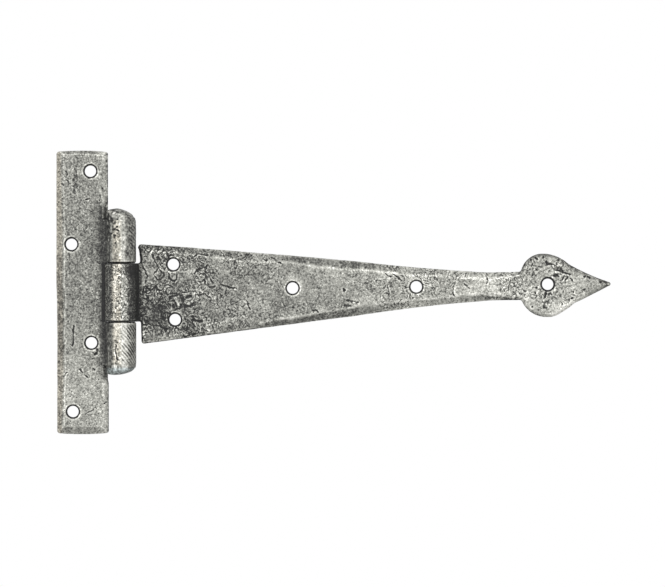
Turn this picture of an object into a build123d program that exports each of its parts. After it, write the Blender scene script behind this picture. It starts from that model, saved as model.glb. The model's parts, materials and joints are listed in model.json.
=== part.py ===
from build123d import *
import os
from math import cos, radians, sin, sqrt

# A hand-forged tee hinge: a tall fixed plate whose edge is rolled into two outer knuckles, a long
# tapered strap with a spade-shaped end whose root is rolled into the middle knuckle, and a pin whose
# two ends are welded over and dressed round.
# Frame, in millimetres: the hinge as it is screwed on. The origin is the middle of the fixed plate's
# back face, +X runs along the strap, +Z up along the pin, and the front faces -Y, so both back faces
# lie on y = 0.

# Bar stock, screws and fits
gauge = 3.1                  # thickness of the bar that both leaves are forged from
screw_hole_diameter = 4.7    # plain round holes for No. 8 screws
pin_diameter = 6.1
pin_clearance = 0.05         # radial play of the pin in its knuckles
knuckle_gap = 0.2            # play along the pin, above and below the middle knuckle
notch_gap = 0.3              # between the notch in the plate and what turns past it

# Fixed plate
plate_width = 21.3
plate_height = 117.3
plate_corner_radius = 1.3
plate_end_crown = 0.5        # how far the two short ends bulge
outer_knuckle_length = 18.0
outer_seam_angle = 33.0      # the roll's end shows this far round from the plate towards the front
seam_width = 0.5
screw_columns = (3.5, -4.3, 3.9, -3.7)       # hand-punched, so no two columns agree
screw_heights = (50.1, 19.9, -20.8, -49.2)

# Middle knuckle and strap
middle_knuckle_length = 24.0
middle_wall = 3.7            # thicker than the bar, from upsetting the end before it was rolled
middle_seam_angle = 20.0     # hidden behind the barrel, towards the back
root_gap = 1.5               # open slot between the strap's root and the outer knuckles
root_ear = 0.75              # the upper corner of the root leans towards the barrel by this much
ear_length = 6.0             # over this much of the root
ear_drop = 1.6               # and its outermost point lies this far below the root's upper corner
strap_end = 202.1            # from the pin to the point
spade_length = 37.0          # from the notch at the neck to the point
neck_length = 13.8
root_width = 41.5
root_corner_radius = 1.2
neck_width = 11.8
strap_belly = 0.02           # how far the long edges swell outwards past the root
strap_draw = 0.18            # how far they have drawn in where the swelling ends
strap_waist = 0.6            # how far they draw in before the neck
waist_start = 0.62           # share of the taper where the swelling ends and the drawing in begins
strap_bow = 0.42             # both long edges arch upwards by this much
strap_rise = 1.244           # degrees by which the strap climbs away from square
strap_drop = 0.85            # how far below mid-height its centre line leaves the pin
spade_width = 26.4
crown_from_notch = 9.1       # where the spade is widest
flank_from_notch = 20.9      # where the round lobe turns into the sweep to the point
upper_flank_reach = 8.65     # half width there
lower_flank_reach = 8.2
spade_skew = 1.1             # the upper lobe sits nearer to the neck by this, the lower one further
upper_shoulder_share = 0.84  # of the half width, reached a third of the way to the crown
lower_shoulder_share = 0.79
upper_hollow = 0.45          # depth of the sweep to the point
lower_hollow = 0.05
flank_radius = 7.0           # smooths the turn from the lobe to the sweep
point_radius = 0.9
notch_radius = 1.0
root_holes = ((13.95, 11.97), (14.2, -10.83))  # from the root, and across the strap
strap_line_holes = ((70.7, 1.11), (121.8, 0.55))  # from the pin, and across
spade_hole = (11.0, 0.4)     # from the notch, and across

# Welded ends of the pin
dome_overhang = 0.05         # how far a dome stands out past its knuckle
dome_edge_clearance = 0.29   # between a dome and the edge of the plate
top_dome_height = 4.6
bottom_dome_height = 3.9
top_dome_shift = 2.1         # the crown of a dome leans towards the plate
bottom_dome_shift = 2.5
top_dome_wall = 0.5          # upright wall left below the crown on its low side
bottom_dome_wall = 1.5
top_dome_edge_radius = 1.0
bottom_dome_edge_radius = 1.4

# Hammered bevels along the front edges, as (width, depth)
plate_long_bevel = (3.2, 1.1)
plate_free_bevel = (1.9, 0.9)
plate_top_bevel = (1.3, 0.7)
plate_foot_bevel = (3.3, 1.1)
strap_upper_bevel = (2.8, 0.9)   # at the root; both long bevels run to the neck's
strap_lower_bevel = (1.6, 0.5)
neck_bevel = (3.4, 1.0)
root_bevel = (0.9, 0.6)
spade_bevel = (1.2, 0.65)
bevel_lap = 0.2                  # how far a bevel runs on past its end

# Places that follow from the sizes above
bore_radius = pin_diameter / 2 + pin_clearance
outer_radius = bore_radius + gauge
middle_radius = bore_radius + middle_wall
dome_radius = outer_radius + dome_overhang
edge_to_pin = sqrt(dome_radius**2 - bore_radius**2) + dome_edge_clearance
pin_x = plate_width / 2 + edge_to_pin
pin_y = -outer_radius
middle_top = middle_knuckle_length / 2
outer_start = middle_top + knuckle_gap
outer_end = outer_start + outer_knuckle_length
strap_root = outer_radius + root_gap
neck_end = strap_end - spade_length
neck_start = neck_end - neck_length
past = 1.0                   # how far a cutter reaches past what it cuts


def block(x_low, x_high, y_low, y_high, z_low, z_high):
    """A box between two corners."""
    size = (x_high - x_low, y_high - y_low, z_high - z_low)
    middle = ((x_high + x_low) / 2, (y_high + y_low) / 2, (z_high + z_low) / 2)
    return Pos(*middle) * Box(*size)


def rod(radius, z_low, z_high):
    """A cylinder about the pin's axis."""
    return Pos(pin_x, pin_y, (z_low + z_high) / 2) * Cylinder(radius, z_high - z_low)


def bevel_section(place, along, bevel):
    """The triangle that a bevel takes off the front edge at a place, square to the edge."""
    width, depth = bevel
    inward = Vector(-along.Z, 0, along.X)
    slope = past * depth / width
    low_outer = place - inward * past + Vector(0, depth + slope - gauge, 0)
    top_inner = place + inward * (width + past) - Vector(0, gauge + slope, 0)
    top_outer = Vector(low_outer.X, top_inner.Y, low_outer.Z)
    return Face(Wire.make_polygon([low_outer, top_inner, top_outer]))


def straight_bevel(start, end, bevel, end_bevel):
    """A wedge along a straight edge, with the metal on its left in plan."""
    a, b = Vector(start[0], 0, start[1]), Vector(end[0], 0, end[1])
    along = (b - a).normalized()
    ends = [bevel_section(a - along * bevel_lap, along, bevel)]
    ends.append(bevel_section(b + along * bevel_lap, along, end_bevel))
    return loft(ends, ruled=True)


def arc_bevel(start, through, end, bevel):
    """A wedge along an arc, with the metal on its left in plan."""
    path = ThreePointArc(*(Vector(x, 0, z) for x, z in (start, through, end)))
    return sweep(bevel_section(path @ 0, path % 0, bevel), path=path)


def screw_hole(x, z):
    """A plain hole through a leaf, from front to back."""
    drill = Cylinder(screw_hole_diameter / 2, gauge + 2 * past)
    return Pos(x, -gauge / 2, z) * Rot(90, 0, 0) * drill


def seam(radius, angle):
    """The slot where a roll's end comes back to its own leaf; the angle is turned from +X to -Y."""
    reach = radius - bore_radius + past
    slot = Pos((bore_radius + radius) / 2, 0, 0) * Box(reach, seam_width, 2 * (outer_end + past))
    return Pos(pin_x, pin_y, 0) * Rot(0, 0, -angle) * slot


def plate_outline():
    """The fixed plate in plan: a bar with worn corners and slightly bulging ends."""
    half_w, half_h = plate_width / 2, plate_height / 2
    shoulder = half_h - plate_end_crown
    outline = Polyline((-half_w, shoulder), (-half_w, -shoulder))
    outline += ThreePointArc((-half_w, -shoulder), (0, -half_h), (half_w, -shoulder))
    outline += Line((half_w, -shoulder), (half_w, shoulder))
    outline += ThreePointArc((half_w, shoulder), (0, half_h), (-half_w, shoulder))
    face = make_face(outline)
    return fillet(face.vertices(), plate_corner_radius)


def plate_bevels():
    """Wedges along the plate's front edges, apart from the stretch that carries the barrel."""
    half_w, half_h = plate_width / 2, plate_height / 2
    runs = [
        ((-half_w, half_h), (-half_w, -half_h), plate_long_bevel),
        ((half_w, -half_h), (half_w, -outer_end), plate_free_bevel),
        ((half_w, outer_end), (half_w, half_h), plate_free_bevel),
        ((half_w, half_h), (-half_w, half_h), plate_top_bevel),
        ((-half_w, -half_h), (half_w, -half_h), plate_foot_bevel),
    ]
    return [straight_bevel(start, end, bevel, bevel) for start, end, bevel in runs]


def make_wall_plate():
    """The fixed plate, with the two outer knuckles rolled from its edge and a notch between them."""
    plate = extrude(Plane.XZ * plate_outline(), gauge)
    for wedge in plate_bevels():
        plate -= wedge
    for side in (1, -1):
        low, high = sorted((side * outer_start, side * outer_end))
        roll = rod(outer_radius, low, high) + block(plate_width / 2 - past, pin_x, -gauge, 0, low, high)
        plate += roll
        plate -= rod(bore_radius, low, high)
    beside_knuckle = sqrt((middle_radius + notch_gap) ** 2 - (outer_radius - gauge) ** 2)
    notch_edge = pin_x - max(beside_knuckle, outer_radius + notch_gap)
    plate -= block(notch_edge, pin_x + outer_radius, -2 * outer_radius, past, -outer_start, outer_start)
    plate -= seam(outer_radius, 180 - outer_seam_angle)
    for x, z in zip(screw_columns, screw_heights):
        plate -= screw_hole(x, z)
    return plate


def strap_place(u, v):
    """A point of the strap, u along it from the pin and v across it, as (x, z) in the hinge's frame."""
    rise = radians(strap_rise)
    return pin_x + u * cos(rise) - v * sin(rise), -strap_drop + u * sin(rise) + v * cos(rise)


def taper_side(side):
    """One long edge of the taper as two arcs: it swells past the root, then draws in to the neck."""
    def point(share, swell):
        half_width = root_width / 2 + share * (neck_width - root_width) / 2 + swell
        bow = 4 * share * (1 - share) * strap_bow
        return strap_root + share * (neck_start - strap_root), side * half_width + bow

    turn = point(waist_start, -strap_draw)
    belly = (point(0, 0), point(waist_start / 2, strap_belly), turn)
    waist = (turn, point((1 + waist_start) / 2, -strap_waist), point(1, 0))
    return [belly, waist]


def spade_side(side):
    """One side of the spade, from the notch at the neck to the point, as three arcs."""
    share, depth = (upper_shoulder_share, upper_hollow) if side > 0 else (lower_shoulder_share, lower_hollow)
    flank_reach = upper_flank_reach if side > 0 else lower_flank_reach
    notch = (neck_end, side * neck_width / 2)
    shoulder = (neck_end + crown_from_notch / 3, side * share * spade_width / 2)
    crown = (neck_end + crown_from_notch - side * spade_skew, side * spade_width / 2)
    flank = (neck_end + flank_from_notch - side * spade_skew, side * flank_reach)
    lobe_u = (crown[0] + flank[0]) / 2 + 0.18 * (spade_width / 2 - flank_reach)
    lobe = (lobe_u, side * (0.75 * spade_width / 2 + 0.25 * flank_reach))
    tip = (strap_end - point_radius, side * point_radius)
    sweep_middle = ((flank[0] + tip[0]) / 2, (flank[1] + tip[1]) / 2 - side * depth)
    return [(notch, shoulder, crown), (crown, lobe, flank), (flank, sweep_middle, tip)]


def root_corners():
    """The root of the strap from its upper corner to its lower one, with an ear beside the barrel."""
    top = root_width / 2
    return [(strap_root, top), (strap_root - root_ear, top - ear_drop), (strap_root, top - ear_length), (strap_root, -top)]


def strap_outline():
    """The strap in plan: a long taper, a short neck and the spade."""
    place = strap_place
    edges = []
    for side in (1, -1):
        half_neck = side * neck_width / 2
        edges.append(Line(place(neck_start, half_neck), place(neck_end, half_neck)))
        arcs = taper_side(side) + spade_side(side)
        edges += [ThreePointArc(*(place(*p) for p in arc)) for arc in arcs]
    corners = root_corners()
    edges += [Line(place(*a), place(*b)) for a, b in zip(corners, corners[1:])]
    tip_u = strap_end - point_radius
    tip = [(tip_u, point_radius), (strap_end, 0), (tip_u, -point_radius)]
    edges.append(ThreePointArc(*(place(*p) for p in tip)))
    face = make_face(edges)
    for u_v, radius in (
        (corners[0], root_corner_radius),
        (corners[1], root_corner_radius / 2),
        (corners[3], root_corner_radius),
        ((neck_end, neck_width / 2), notch_radius),
        ((neck_end, -neck_width / 2), notch_radius),
        (spade_side(1)[2][0], flank_radius),
        (spade_side(-1)[2][0], flank_radius),
    ):
        corner = min(face.vertices(), key=lambda c: (Vector(*c) - Vector(*place(*u_v))).length)
        face = fillet([corner], radius)
    return face


def strap_bevels():
    """Wedges along the strap's front edges, from the root round the spade and back."""
    place = strap_place
    half_root, half_neck, bow = root_width / 2, neck_width / 2, strap_bow / 2
    runs = [
        ((neck_start, half_neck + bow), (strap_root, half_root + bow), neck_bevel, strap_upper_bevel),
        ((strap_root, bow - half_root), (neck_start, bow - half_neck), strap_lower_bevel, neck_bevel),
        ((neck_start, -half_neck), (neck_end, -half_neck), neck_bevel, spade_bevel),
        ((neck_end, half_neck), (neck_start, half_neck), spade_bevel, neck_bevel),
    ]
    corners = root_corners()
    runs += [(a, b, root_bevel, root_bevel) for a, b in zip(corners, corners[1:])]
    wedges = [straight_bevel(place(*a), place(*b), first, last) for a, b, first, last in runs]
    for arc in spade_side(-1):
        wedges.append(arc_bevel(*(place(*p) for p in arc), spade_bevel))
    for arc in spade_side(1):
        wedges.append(arc_bevel(*(place(*p) for p in reversed(arc)), spade_bevel))
    return wedges + [notch_cone(side) for side in (1, -1)]


def notch_cone(side):
    """The hollow that joins the bevels of the neck and the spade at the inner corner between them."""
    width, depth = spade_bevel
    x, z = strap_place(neck_end, side * neck_width / 2)
    return Pos(x, depth / 2 - gauge, z) * Rot(90, 0, 0) * Cone(0.01, width, depth)


def strap_hole_places():
    """The strap's five holes, along it from the pin and across it."""
    near_root = [(strap_root + u, v) for u, v in root_holes]
    return near_root + list(strap_line_holes) + [(neck_end + spade_hole[0], spade_hole[1])]


def make_strap():
    """The strap, with the middle knuckle rolled from a tongue at its root."""
    strap = extrude(Plane.XZ * strap_outline(), gauge)
    for wedge in strap_bevels():
        strap -= wedge
    root_x = strap_place(strap_root, 0)[0] + root_bevel[0]
    roll = rod(middle_radius, -middle_top, middle_top)
    roll += block(pin_x, root_x + gauge, -gauge, 0, -middle_top, middle_top)
    roll -= block(pin_x - middle_radius - past, pin_x + middle_radius + past, 0, past, -outer_end, outer_end)
    strap += roll
    strap -= rod(bore_radius, -middle_top, middle_top)
    strap -= seam(middle_radius, -middle_seam_angle)
    for u, v in strap_hole_places():
        strap -= screw_hole(*strap_place(u, v))
    return strap


def weld_dome(height, shift, wall, edge_radius):
    """A dressed weld on z = 0, crowned off-centre towards the plate."""
    reach = dome_radius + shift
    rise = height - wall
    ball_radius = (reach**2 + rise**2) / (2 * rise)
    puck = Pos(0, 0, height / 2) * Cylinder(dome_radius, height)
    dome = puck & Pos(-shift, 0, height - ball_radius) * Sphere(ball_radius)
    rim = [e for e in dome.edges() if e.center().Z > wall / 2]
    return fillet(rim, edge_radius)


def make_hinge_pin():
    """The pin, with a dome welded over each end and dressed flush with the back."""
    pin = rod(pin_diameter / 2, -outer_end, outer_end)
    crown = weld_dome(top_dome_height, top_dome_shift, top_dome_wall, top_dome_edge_radius)
    foot = weld_dome(bottom_dome_height, bottom_dome_shift, bottom_dome_wall, bottom_dome_edge_radius)
    pin += Pos(pin_x, pin_y, outer_end) * crown
    pin += Pos(pin_x, pin_y, -outer_end) * mirror(foot, about=Plane.XY)
    tall = outer_end + top_dome_height + bottom_dome_height
    pin -= block(pin_x - 2 * dome_radius, pin_x + 2 * dome_radius, 0, 2 * dome_radius, -tall, tall)
    return pin


os.makedirs("parts", exist_ok=True)
for name, make in (("wall_plate", make_wall_plate), ("strap", make_strap), ("hinge_pin", make_hinge_pin)):
    export_step(make(), f"parts/{name}.step")
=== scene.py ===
# %% [markdown]
# # A hand-forged tee hinge, finished in pewter patina
#
# The hinge has three pieces: a fixed plate with two rolled knuckles, a long strap with the middle
# knuckle, and a pin with its ends welded over. Their true sizes come from the packed model, so this
# script never invents a size: it copies each piece, makes the copy's mesh fine enough to hold hammer
# marks, works those marks into it, and then gives it a finish.

# %% Load the frame and keep its box
import json
import math
import bpy
import numpy as np
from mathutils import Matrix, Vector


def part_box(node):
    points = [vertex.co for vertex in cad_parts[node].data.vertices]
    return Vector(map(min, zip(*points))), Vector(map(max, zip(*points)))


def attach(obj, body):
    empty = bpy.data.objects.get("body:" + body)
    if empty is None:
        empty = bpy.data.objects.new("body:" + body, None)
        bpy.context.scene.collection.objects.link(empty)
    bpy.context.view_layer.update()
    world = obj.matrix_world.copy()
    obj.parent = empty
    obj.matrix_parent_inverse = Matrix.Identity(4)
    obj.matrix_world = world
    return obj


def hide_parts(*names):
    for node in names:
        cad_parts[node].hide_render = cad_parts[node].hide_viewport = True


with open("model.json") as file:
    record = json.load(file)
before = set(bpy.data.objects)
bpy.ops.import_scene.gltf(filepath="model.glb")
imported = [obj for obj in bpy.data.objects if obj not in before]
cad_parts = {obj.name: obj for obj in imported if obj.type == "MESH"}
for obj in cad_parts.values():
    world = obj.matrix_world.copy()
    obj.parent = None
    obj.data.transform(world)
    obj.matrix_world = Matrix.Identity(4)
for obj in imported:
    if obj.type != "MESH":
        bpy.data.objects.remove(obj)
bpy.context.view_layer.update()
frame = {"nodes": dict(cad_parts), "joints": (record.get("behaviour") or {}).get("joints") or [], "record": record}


# %% [markdown]
# ## Where things are
#
# All the places below are worked out from the packed pieces and from the joint, in millimetres. The
# pin's axis is the joint's, and the screw holes and their radius are the record's bore mounts.

# %% Read the main sizes from the frame
PIN_X, PIN_Y, _ = (c * 1000 for c in frame["joints"][0]["pos_m"])


def box_mm(node):
    """The lowest and highest corner of a CAD piece, in millimetres."""
    return [np.array(corner) * 1000 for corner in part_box(node)]


def corners_mm(node):
    """The corner points of a CAD piece's mesh, in millimetres."""
    mesh = frame["nodes"][node].data
    corners = np.empty(len(mesh.vertices) * 3)
    mesh.vertices.foreach_get("co", corners)
    return corners.reshape(-1, 3) * 1000


plate_low, plate_high = box_mm("wall_plate")
strap_low, strap_high = box_mm("strap")
pin_low, pin_high = box_mm("hinge_pin")
OUTER_RADIUS = -PIN_Y
MIDDLE_RADIUS = PIN_X - strap_low[0]
CREST_Y = PIN_Y - 5                    # further forward than this there are only knuckles
plate_corners, strap_corners = corners_mm("wall_plate"), corners_mm("strap")
GAUGE = -plate_corners[plate_corners[:, 0] < 0, 1].min()
MIDDLE_TOP = strap_corners[strap_corners[:, 1] < CREST_Y, 2].max()
print("bar", round(GAUGE, 2), "mm thick, middle knuckle", round(2 * MIDDLE_TOP, 2), "mm tall")
print("knuckle radii", OUTER_RADIUS, "and", round(MIDDLE_RADIUS, 2), "mm")

# %% Read the screw holes from the record
HOLES = {"plate_forged": [], "strap_forged": []}
for mount in frame["record"]["mounts"]:
    if mount["kind"] == "bore":
        piece_name = "plate_forged" if mount["name"].startswith("plate") else "strap_forged"
        HOLES[piece_name].append((mount["pos_m"][0] * 1000, mount["pos_m"][2] * 1000))
        HOLE_RADIUS = mount["dims"]["r_mm"]
print("holes of radius", HOLE_RADIUS, {name: len(holes) for name, holes in HOLES.items()})

# %% [markdown]
# ## The camera
#
# A catalogue picture like this is taken square on with a long lens, so that the hinge shows almost
# without perspective. The camera stands three metres in front, and its lens is the one that makes
# one pixel as wide as it measures on the hinge.

# %% Place the camera
PHOTO_WIDTH, PHOTO_HEIGHT = 665, 587
MM_PER_PIXEL = 0.4134
PIN_PIXEL_X = 121.2                    # where the pin's axis stands in the picture
MIDDLE_PIXEL_Y = 291.95                # where the plate's middle stands in the picture
CAMERA_DISTANCE, VIEW_END = 3.0, 20    # metres
SENSOR_WIDTH = 36.0                    # millimetres

view_x = PIN_X + ((PHOTO_WIDTH - 1) / 2 - PIN_PIXEL_X) * MM_PER_PIXEL
view_z = (MIDDLE_PIXEL_Y - (PHOTO_HEIGHT - 1) / 2) * MM_PER_PIXEL
camera_place = (view_x / 1000, -CAMERA_DISTANCE, view_z / 1000)
bpy.ops.object.camera_add(location=camera_place, rotation=(math.pi / 2, 0, 0))
camera = bpy.context.object
camera.name = "camera"
camera.data.sensor_width = SENSOR_WIDTH
camera.data.lens = SENSOR_WIDTH * CAMERA_DISTANCE * 1000 / (PHOTO_WIDTH * MM_PER_PIXEL)
camera.data.clip_end = VIEW_END
bpy.context.scene.camera = camera
print("lens", round(camera.data.lens, 1), "mm, looking at x", round(view_x, 1), "z", round(view_z, 1))


# %% Places read off the picture
def from_photo(*places):
    """Places in the picture, in pixels, as places on the hinge in millimetres, seen from the front."""
    across = [PIN_X + (x - PIN_PIXEL_X) * MM_PER_PIXEL for x, _ in places]
    up = [(MIDDLE_PIXEL_Y - y) * MM_PER_PIXEL for _, y in places]
    return list(zip(across, up))


print("the picture shows", round(PHOTO_WIDTH * MM_PER_PIXEL), "mm across")

# %% [markdown]
# ## Shader arithmetic
#
# A node tree is easier to read as sums than as boxes and wires. `Socket` wraps one output, and its
# operators add Math nodes, so `1 - mask` is a node too. `Finish` is a material that adds any other
# node by its type, its settings and its inputs.

# %% A socket that can be used in sums
class Socket:
    """An output socket; each operator on it adds one Math node."""

    def __init__(self, finish, output):
        self.finish, self.output = finish, output

    def combine(self, operation, first, second):
        """One Math node on two values, either of which may be a plain number."""
        return self.finish.node("ShaderNodeMath", {"operation": operation}, {0: first, 1: second})

    def __add__(self, other):
        return self.combine("ADD", self, other)

    __radd__ = __add__

    def __sub__(self, other):
        return self.combine("SUBTRACT", self, other)

    def __rsub__(self, other):
        return self.combine("SUBTRACT", other, self)

    def __mul__(self, other):
        return self.combine("MULTIPLY", self, other)

    __rmul__ = __mul__

    def clamped(self):
        """The value kept between 0 and 1."""
        return self.combine("MINIMUM", self.combine("MAXIMUM", self, 0.0), 1.0)


print("operators:", [name for name in vars(Socket) if name.endswith(("add__", "sub__", "mul__"))])


# %% A material that is written as expressions
class Finish:
    """A material with one Principled shader."""

    def __init__(self, name):
        self.material = bpy.data.materials.new(name)
        self.material.use_nodes = True
        self.tree = self.material.node_tree
        self.shader = self.tree.nodes["Principled BSDF"]
        self.place = self.node("ShaderNodeTexCoord", {}, {}, "Object")

    def node(self, kind, settings, inputs, output=0):
        """Adds a node: its settings are set first, then its sockets get values or links."""
        node = self.tree.nodes.new(kind)
        for key, value in settings.items():
            if key == "stops":
                self.set_stops(node.color_ramp, value)
            else:
                setattr(node, key, value)
        for key, value in inputs.items():
            self.feed(node.inputs[key], value)
        return Socket(self, node.outputs[output])

    def set_stops(self, ramp, stops):
        """Gives a colour ramp its stops, as (place, (red, green, blue))."""
        while len(ramp.elements) < len(stops):
            ramp.elements.new(1.0)
        for element, (place, colour) in zip(ramp.elements, stops):
            element.position, element.color = place, (*colour, 1.0)

    def feed(self, target, value):
        """Links a socket, or sets its value."""
        if isinstance(value, Socket):
            self.tree.links.new(value.output, target)
        elif isinstance(value, tuple) and len(value) == 3 and target.type == "RGBA":
            target.default_value = (*value, 1.0)
        else:
            target.default_value = value

    def noise(self, size, roughness):
        """Noise around 0.5, of three layers, whose blotches are about size millimetres across."""
        inputs = {"Vector": self.place, "Scale": 1000.0 / size, "Detail": 3.0, "Roughness": roughness}
        return self.node("ShaderNodeTexNoise", {}, inputs, "Fac")

    def worked(self, name):
        """A value that the metalwork stored on the mesh."""
        return self.node("ShaderNodeAttribute", {"attribute_name": name}, {}, "Fac")

    def blend(self, share, first, second):
        """A colour that goes from first to second as share goes from 0 to 1."""
        settings = {"data_type": "RGBA", "clamp_factor": True}
        return self.node("ShaderNodeMix", settings, {"Factor": share, 6: first, 7: second}, 2)

    def tinted(self, colour, tint):
        """A colour multiplied by a tint."""
        settings = {"data_type": "RGBA", "blend_type": "MULTIPLY"}
        return self.node("ShaderNodeMix", settings, {"Factor": 1.0, 6: colour, 7: tint}, 2)

    def set(self, **sockets):
        """Feeds the Principled shader's sockets; an underscore stands for a space."""
        for name, value in sockets.items():
            self.feed(self.shader.inputs[name.replace("_", " ")], value)


print("a finish can:", [name for name in vars(Finish) if not name.startswith("_")])

# %% [markdown]
# ## The studio
#
# The picture has a plain white background. The world is white to the camera, and to rays that
# mirror or pass through, so that the metal reflects the same white room. For soft light it is
# dimmer, and two lamps model the form: a large one in front, a little above and to the left, and a
# weaker one from the right. A pale floor lies below the view.

# %% The world
ROOM_LIGHT = 0.45
world = bpy.data.worlds.new("studio_room")
bpy.context.scene.world = world
world.use_nodes = True
room = world.node_tree
ray = room.nodes.new("ShaderNodeLightPath")
seen = room.nodes.new("ShaderNodeMath")
seen.operation = "MAXIMUM"
room.links.new(ray.outputs["Is Camera Ray"], seen.inputs[0])
mirrored = room.nodes.new("ShaderNodeMath")
mirrored.operation = "MAXIMUM"
room.links.new(ray.outputs["Is Glossy Ray"], mirrored.inputs[0])
room.links.new(ray.outputs["Is Transmission Ray"], mirrored.inputs[1])
room.links.new(mirrored.outputs[0], seen.inputs[1])
strength = room.nodes.new("ShaderNodeMapRange")
strength.inputs["To Min"].default_value = ROOM_LIGHT
strength.inputs["To Max"].default_value = 1.0
room.links.new(seen.outputs[0], strength.inputs["Value"])
room.nodes["Background"].inputs["Color"].default_value = (1.0, 1.0, 1.0, 1.0)
room.links.new(strength.outputs["Result"], room.nodes["Background"].inputs["Strength"])
bpy.context.scene.view_settings.view_transform = "Standard"
print("room light for soft rays:", ROOM_LIGHT)

# %% The floor
FLOOR_SIDES, FLOOR_RADIUS = 96, 0.55
FLOOR_PLACE = (0.1, 0, -0.26)
bpy.ops.mesh.primitive_circle_add(
    vertices=FLOOR_SIDES, radius=FLOOR_RADIUS, fill_type="NGON", location=FLOOR_PLACE,
)
floor = bpy.context.object
floor.name = "studio_floor"
paint = Finish("pale_floor")
speckle = paint.noise(40.0, 0.5)
paint.set(Base_Color=paint.blend(speckle, (0.86, 0.86, 0.85), (0.9, 0.9, 0.89)), Roughness=0.8)
floor.data.materials.append(paint.material)
print("floor", round(2 * FLOOR_RADIUS, 2), "m across, at", FLOOR_PLACE)


# %% The lamps
def softbox(name, place, size, watts):
    """A square lamp that faces the hinge."""
    bpy.ops.object.light_add(type="AREA", location=place)
    lamp = bpy.context.object
    lamp.name = name
    lamp.data.size = size
    lamp.data.energy = watts
    aim = Vector((view_x / 1000, 0.0, 0.0)) - lamp.location
    lamp.rotation_euler = aim.to_track_quat("-Z", "Y").to_euler()


KEY_PLACE, KEY_SIZE, KEY_WATTS = (-0.45, -1.5, 0.42), 0.5, 11.5
SIDE_PLACE, SIDE_SIZE, SIDE_WATTS = (1.3, -0.9, 0.35), 0.4, 2.0
softbox("key_light", KEY_PLACE, KEY_SIZE, KEY_WATTS)
softbox("side_light", SIDE_PLACE, SIDE_SIZE, SIDE_WATTS)

# %% [markdown]
# ## Noise for metal
#
# Forged iron is uneven at every scale: broad hammer blows, flakes of scale, pits and grain. All of
# them start from smooth noise in space. A shuffled row of numbers gives every corner of a lattice
# its own direction, and the noise at a point is blended from the eight corners around it. The
# shuffle has a fixed seed, so the same marks come out on every run.

# %% Smooth noise
def lattice(seed):
    """A shuffled row of 256 numbers, written out twice, and a direction for each number."""
    dice = np.random.default_rng(seed)
    shuffle = np.tile(dice.permutation(256), 2)
    directions = dice.normal(size=(256, 3))
    return shuffle, directions / np.linalg.norm(directions, axis=1)[:, None]


def lattice_number(cell, shuffle):
    """The number that a lattice cell draws from the shuffle."""
    x, y, z = (cell & 255).T
    return shuffle[shuffle[shuffle[x] + y] + z]


CORNERS = [np.array((x, y, z)) for x in (0, 1) for y in (0, 1) for z in (0, 1)]


def noise(points, size, seed):
    """Smooth noise from about -1 to 1, whose bumps are about size millimetres across."""
    shuffle, directions = lattice(seed)
    place = points / size
    cell = np.floor(place).astype(int)
    inside = place - cell
    ease = inside**3 * (inside * (inside * 6 - 15) + 10)
    total = np.zeros(len(points))
    for corner in CORNERS:
        weight = np.prod(np.where(corner == 1, ease, 1 - ease), axis=1)
        direction = directions[lattice_number(cell + corner, shuffle)]
        total += weight * np.sum(direction * (inside - corner), axis=1)
    return total * 1.6


def layered(points, size, layers, seed):
    """Noise on noise: each layer is half as large and half as strong as the one before."""
    return sum(noise(points, size / 2**k, seed + k) / 2**k for k in range(layers))


print("noise along a line:", np.round(noise(np.outer(np.arange(6), (1, 0.4, 0.3)), 3, 0), 2))


# %% Pits, lines and ramps
def ramp(value, low, high):
    """0 below low, 1 above high, with a smooth rise between them."""
    share = np.clip((value - low) / (high - low), 0, 1)
    return share * share * (3 - 2 * share)


def pits(points, spacing, radius, seed):
    """Small round pits, one to a cell at most: 1 in a pit's middle and 0 outside it."""
    shuffle, directions = lattice(seed)
    place = points / spacing
    cell = np.floor(place).astype(int)
    deepest = np.zeros(len(points))
    for step in np.ndindex(3, 3, 3):
        near = cell + np.array(step) - 1
        number = lattice_number(near, shuffle)
        middle = near + 0.5 + 0.45 * directions[number]
        reach = radius * (0.4 + 0.6 * ((number * 37) % 256) / 255)
        distance = np.linalg.norm(place - middle, axis=1) * spacing
        deepest = np.maximum(deepest, 1 - ramp(distance, 0.3 * reach, reach))
    return deepest


def line_distance(points, line):
    """How far each point lies, seen from the front, from a line through some places."""
    x, z = points[:, 0], points[:, 2]
    if len(line) == 1:
        return np.hypot(x - line[0][0], z - line[0][1])
    nearest = np.full(len(points), np.inf)
    for (x0, z0), (x1, z1) in zip(line, line[1:]):
        run_x, run_z = x1 - x0, z1 - z0
        share = np.clip(((x - x0) * run_x + (z - z0) * run_z) / (run_x**2 + run_z**2), 0, 1)
        nearest = np.minimum(nearest, np.hypot(x - x0 - share * run_x, z - z0 - share * run_z))
    return nearest


print("a ramp from 0 to 1:", np.round(ramp(np.linspace(0, 1, 5), 0, 1), 2))

# %% [markdown]
# ## Working copies
#
# A packed CAD mesh has few points on its flats, so nothing can be hammered into it. Each piece is
# copied, its loose triangles are merged, and a voxel Remesh gives it an even skin of small squares
# that also rounds every edge a little, as wear does. `Forging` keeps that copy's points in
# millimetres, so that the metalwork below can push them about and smooth values along the skin.

# %% A piece that can be worked
MERGE_WITHIN = 1e-6                    # metres


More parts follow.
